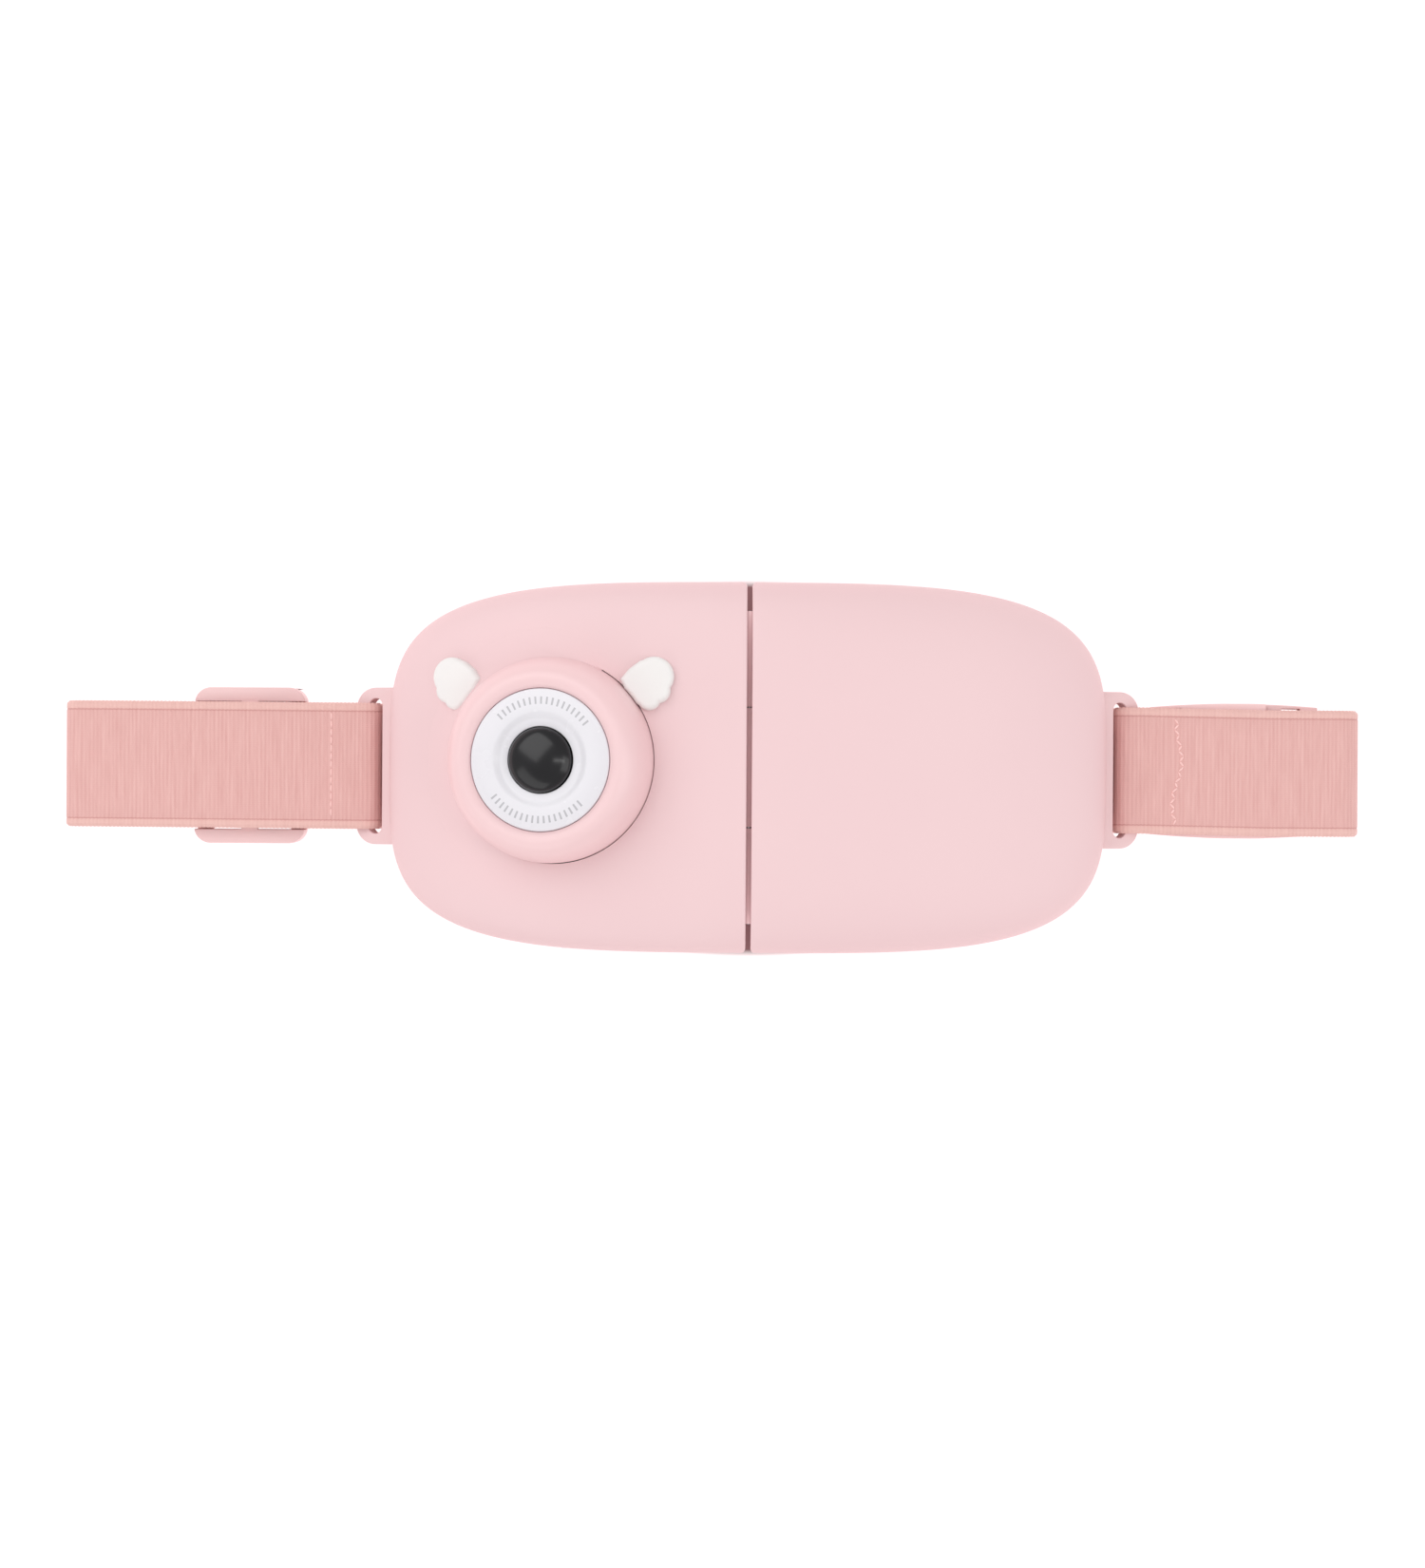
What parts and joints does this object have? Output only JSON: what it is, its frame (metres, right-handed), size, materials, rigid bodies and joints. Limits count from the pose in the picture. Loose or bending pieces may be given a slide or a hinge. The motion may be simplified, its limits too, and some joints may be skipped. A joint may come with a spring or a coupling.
{
  "type": "heated massage waist belt",
  "caption": "Two-leaf hinged massage belt unit with a camera-style nose button, strap lugs, an elastic waist belt, a slider and a side-release buckle.",
  "frame": {"origin": "on the table under the hinge, at the middle of the belt's lower layer", "axes": "+X along the belt, +Y across it, +Z out of the front of the leaves"},
  "size_m": [0.3152, 0.0874, 0.0523],
  "materials": {
    "shell_pink": "soft satin moulded ABS",
    "back_pink": "satin moulded ABS",
    "silicone_pad": "matte silicone",
    "heater_film": "amber polyimide film",
    "ring_pink": "satin gloss moulded ABS",
    "trim_white": "satin moulded acrylic",
    "wing_white": "satin moulded ABS",
    "lens_black": "polished smoked acrylic",
    "plain_nylon": "natural nylon",
    "spring_steel": "drawn wire",
    "circuit_board": "green solder mask",
    "switch_black": "moulded",
    "port_steel": "plated steel",
    "cell_wrap": "foil pouch",
    "motor_steel": "drawn can",
    "weight_metal": "sintered",
    "hinge_pink": "moulded acetal",
    "pin_steel": "ground",
    "screw_steel": "zinc plated",
    "elastic_webbing": "ribbed woven elastic",
    "buckle_pink": "satin moulded acetal"
  },
  "bodies": {
    "left_leaf": {"left_front_shell": "shell_pink", "left_back_shell": "back_pink", "left_heat_pad": "silicone_pad", "left_heater_film": "heater_film", "nose_ring": "ring_pink", "trim_plate": "trim_white", "left_wing": "wing_white", "right_wing": "wing_white", "button_spring": "spring_steel", "nose_board": "circuit_board", "tact_switch": "switch_black", "main_board": "circuit_board", "charge_port": "port_steel", "left_vibration_motor": "motor_steel", "left_hinge_leaf": "hinge_pink", "hinge_pin": "pin_steel", "left_hinge_screws": "screw_steel", "left_case_screws": "screw_steel", "left_strap": "elastic_webbing", "return_strap": "elastic_webbing", "belt_underpass": "elastic_webbing", "link_ribbon": "heater_film"},
    "right_leaf": {"right_front_shell": "shell_pink", "right_back_shell": "back_pink", "right_heat_pad": "silicone_pad", "right_heater_film": "heater_film", "battery_pack": "cell_wrap", "battery_board": "circuit_board", "right_vibration_motor": "motor_steel", "right_hinge_leaf": "hinge_pink", "right_hinge_screws": "screw_steel", "right_case_screws": "screw_steel", "right_strap": "elastic_webbing", "under_strap": "elastic_webbing", "buckle_socket": "buckle_pink"},
    "lens_button": {"lens_button_cap": "lens_black", "switch_plunger": "plain_nylon"},
    "slider": {"slider_frame": "buckle_pink", "strap_end_loop": "elastic_webbing"},
    "plug": {"buckle_plug": "buckle_pink", "buckle_arms": "buckle_pink", "strap_fold_end": "elastic_webbing"},
    "left_weight": {"left_motor_weight": "weight_metal"},
    "right_weight": {"right_motor_weight": "weight_metal"}
  },
  "joints": [
    {"name": "leaf_fold", "type": "hinge", "parent": "left_leaf", "child": "right_leaf", "pos_m": [0, 0, 0.03491], "axis": [0, 1, 0], "range_deg": [0, 24], "deforming": ["belt_underpass", "link_ribbon"]},
    {"name": "button_press", "type": "slide", "parent": "left_leaf", "child": "lens_button", "axis": [0.2028, 0, -0.9792], "range_m": [0, 0.0006], "stiffness_N_per_m": 800, "springref_m": -0.001, "deforming": ["button_spring"]},
    {"name": "slider_run", "type": "slide", "parent": "left_leaf", "child": "slider", "axis": [-1, 0, 0], "range_m": [0, 0.02]},
    {"name": "plug_release", "type": "slide", "parent": "right_leaf", "child": "plug", "axis": [1, 0, 0], "range_m": [0, 0.022], "deforming": ["buckle_arms"]},
    {"name": "left_weight_spin", "type": "hinge", "parent": "left_leaf", "child": "left_weight", "pos_m": [-0.0125, 0, 0.0231], "axis": [0, 1, 0], "continuous": true},
    {"name": "right_weight_spin", "type": "hinge", "parent": "right_leaf", "child": "right_weight", "pos_m": [0.0125, 0, 0.0231], "axis": [0, 1, 0], "continuous": true}
  ]
}
